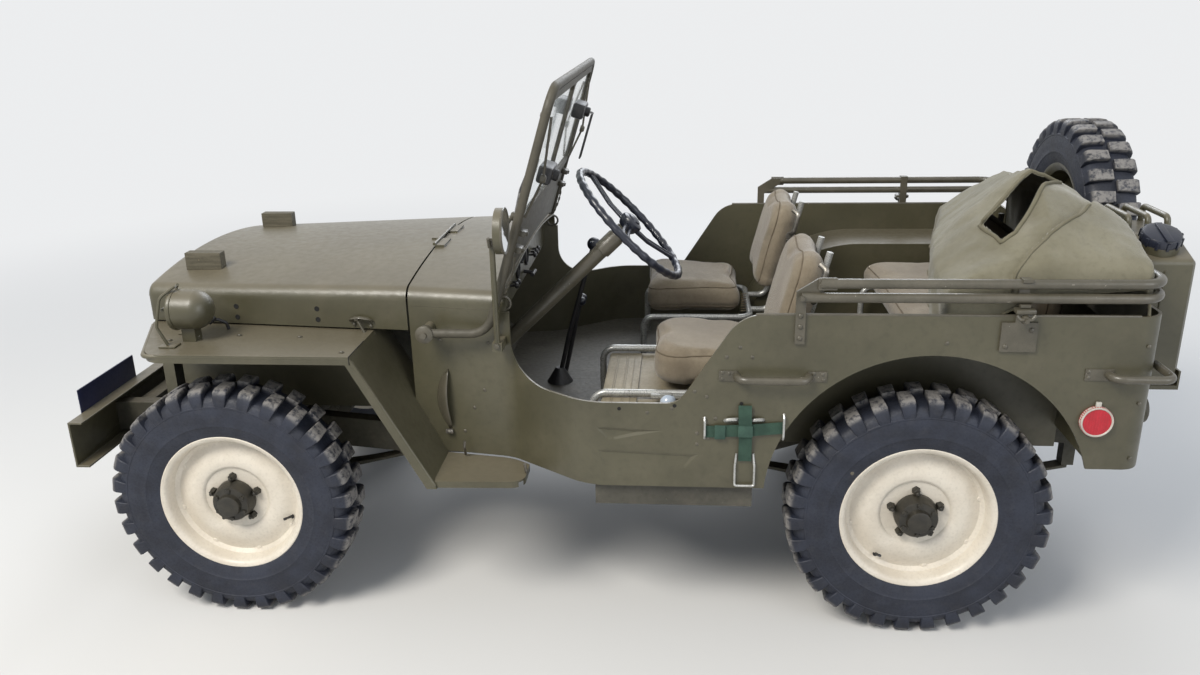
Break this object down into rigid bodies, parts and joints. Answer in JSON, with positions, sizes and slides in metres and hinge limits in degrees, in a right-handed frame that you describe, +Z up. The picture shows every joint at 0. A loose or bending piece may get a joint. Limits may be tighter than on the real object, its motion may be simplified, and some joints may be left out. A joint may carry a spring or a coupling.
{
  "type": "army 4x4 car",
  "caption": "Open quarter-ton army 4x4 car: pressed tub with door gaps, folding windscreen, hinged hood, steered front wheels, lugged tyres, spare wheel and fuel can on the tail.",
  "frame": {"origin": "middle of the car's plan box, on the ground", "axes": "+X from nose to tail, +Y to the car's right, +Z up"},
  "size_m": [3.338, 1.568, 1.5911],
  "materials": {
    "black_enamel": "black enamel",
    "black_grip": "black moulded grip",
    "canvas": "coarse matt khaki canvas",
    "cast_grey": "rough cast iron, grey-green",
    "cream_paint": "satin cream paint on the wheels",
    "glass": "flat clear glass",
    "grey_tube": "light grey paint on the seat tubes",
    "olive_paint": "semi-gloss olive drab paint, worn and dusty in the corners",
    "olive_wood": "painted hardwood",
    "plate_blue": "dark blue enamel, blank",
    "raw_steel": "dull bare steel",
    "red_lens": "red reflector lens",
    "seat_cloth": "tan-khaki canvas seat covers",
    "tank_tan": "tan-khaki paint on the tank",
    "tyre_rubber": "dull dark rubber with grey dust on the lugs"
  },
  "bodies": {
    "body": {"blackout_lamp": "olive_paint", "canvas_cover": "canvas", "chassis_frame": "olive_paint", "controls": "black_enamel", "cowl": "olive_paint", "engine_block": "cast_grey", "exhaust": "raw_steel", "fender_left": "olive_paint", "fender_right": "olive_paint", "floor": "olive_paint", "front_axle": "olive_paint", "front_backs": "seat_cloth", "front_bumper": "olive_paint", "front_cushions": "seat_cloth", "front_plate": "plate_blue", "fuel_tank": "tank_tan", "gearbox": "cast_grey", "grab_handles": "olive_paint", "grille": "olive_paint", "headlamps": "olive_paint", "jerrycan": "olive_paint", "leaf_springs": "raw_steel", "prop_shafts": "raw_steel", "radiator": "black_enamel", "rear_axle": "olive_paint", "rear_carriers": "olive_paint", "rear_panel": "olive_paint", "rear_seat_pads": "seat_cloth", "reflectors": "red_lens", "seat_frames": "grey_tube", "side_left": "olive_paint", "side_mirror": "olive_paint", "side_right": "olive_paint", "spare_rim": "cream_paint", "spare_tyre": "tyre_rubber", "steering_column": "olive_paint", "tail_lamps": "olive_paint", "top_bows": "olive_paint", "wheelhouses": "olive_paint"},
    "wheel_front_left": {"tyre_front_left": "tyre_rubber", "rim_front_left": "cream_paint", "hub_front_left": "olive_paint"},
    "wheel_front_right": {"tyre_front_right": "tyre_rubber", "rim_front_right": "cream_paint", "hub_front_right": "olive_paint"},
    "wheel_rear_left": {"tyre_rear_left": "tyre_rubber", "rim_rear_left": "cream_paint", "hub_rear_left": "olive_paint"},
    "wheel_rear_right": {"tyre_rear_right": "tyre_rubber", "rim_rear_right": "cream_paint", "hub_rear_right": "olive_paint"},
    "knuckle_left": {"knuckle_left": "olive_paint"},
    "knuckle_right": {"knuckle_right": "olive_paint"},
    "tie_rod": {"tie_rod": "olive_paint"},
    "steering_wheel": {"steering_wheel": "black_grip"},
    "hood": {"hood": "olive_paint", "hood_blocks": "olive_wood"},
    "windscreen": {"windscreen_frame": "olive_paint", "windscreen_inner": "olive_paint", "windscreen_glass": "glass"}
  },
  "joints": [
    {"name": "steer_left", "type": "hinge", "parent": "body", "child": "knuckle_left", "pos_m": [-1.145, -0.5, 0.374], "axis": [0, 0, 1], "range_deg": [-26, 26]},
    {"name": "steer_right", "type": "hinge", "parent": "body", "child": "knuckle_right", "pos_m": [-1.145, 0.5, 0.374], "axis": [0, 0, 1], "range_deg": [-26, 26]},
    {"name": "tie_rod_swing", "type": "hinge", "parent": "knuckle_left", "child": "tie_rod", "pos_m": [-1.295, -0.5, 0.392], "axis": [0, 0, 1], "range_deg": [-26, 26]},
    {"name": "roll_front_left", "type": "hinge", "parent": "knuckle_left", "child": "wheel_front_left", "pos_m": [-1.145, -0.6225, 0.374], "axis": [0, 1, 0], "continuous": true},
    {"name": "roll_front_right", "type": "hinge", "parent": "knuckle_right", "child": "wheel_front_right", "pos_m": [-1.145, 0.6225, 0.374], "axis": [0, 1, 0], "continuous": true},
    {"name": "roll_rear_left", "type": "hinge", "parent": "body", "child": "wheel_rear_left", "pos_m": [0.887, -0.6225, 0.374], "axis": [0, 1, 0], "continuous": true},
    {"name": "roll_rear_right", "type": "hinge", "parent": "body", "child": "wheel_rear_right", "pos_m": [0.887, 0.6225, 0.374], "axis": [0, 1, 0], "continuous": true},
    {"name": "steering_wheel_turn", "type": "hinge", "parent": "body", "child": "steering_wheel", "pos_m": [0.055, -0.37, 1.165], "axis": [0.7218, 0, 0.6921], "range_deg": [-364, 364]},
    {"name": "hood_hinge", "type": "hinge", "parent": "body", "child": "hood", "pos_m": [-0.6, 0, 1.048], "axis": [0, 1, 0], "range_deg": [0, 127]},
    {"name": "windscreen_fold", "type": "hinge", "parent": "body", "child": "windscreen", "pos_m": [-0.531, 0, 0.89], "axis": [0, 1, 0], "range_deg": [-106, 0]}
  ],
  "couplings": [
    {"joint": "steer_right", "follows": "steer_left", "ratio": 1},
    {"joint": "tie_rod_swing", "follows": "steer_left", "ratio": -1},
    {"joint": "steering_wheel_turn", "follows": "steer_left", "ratio": 14}
  ]
}
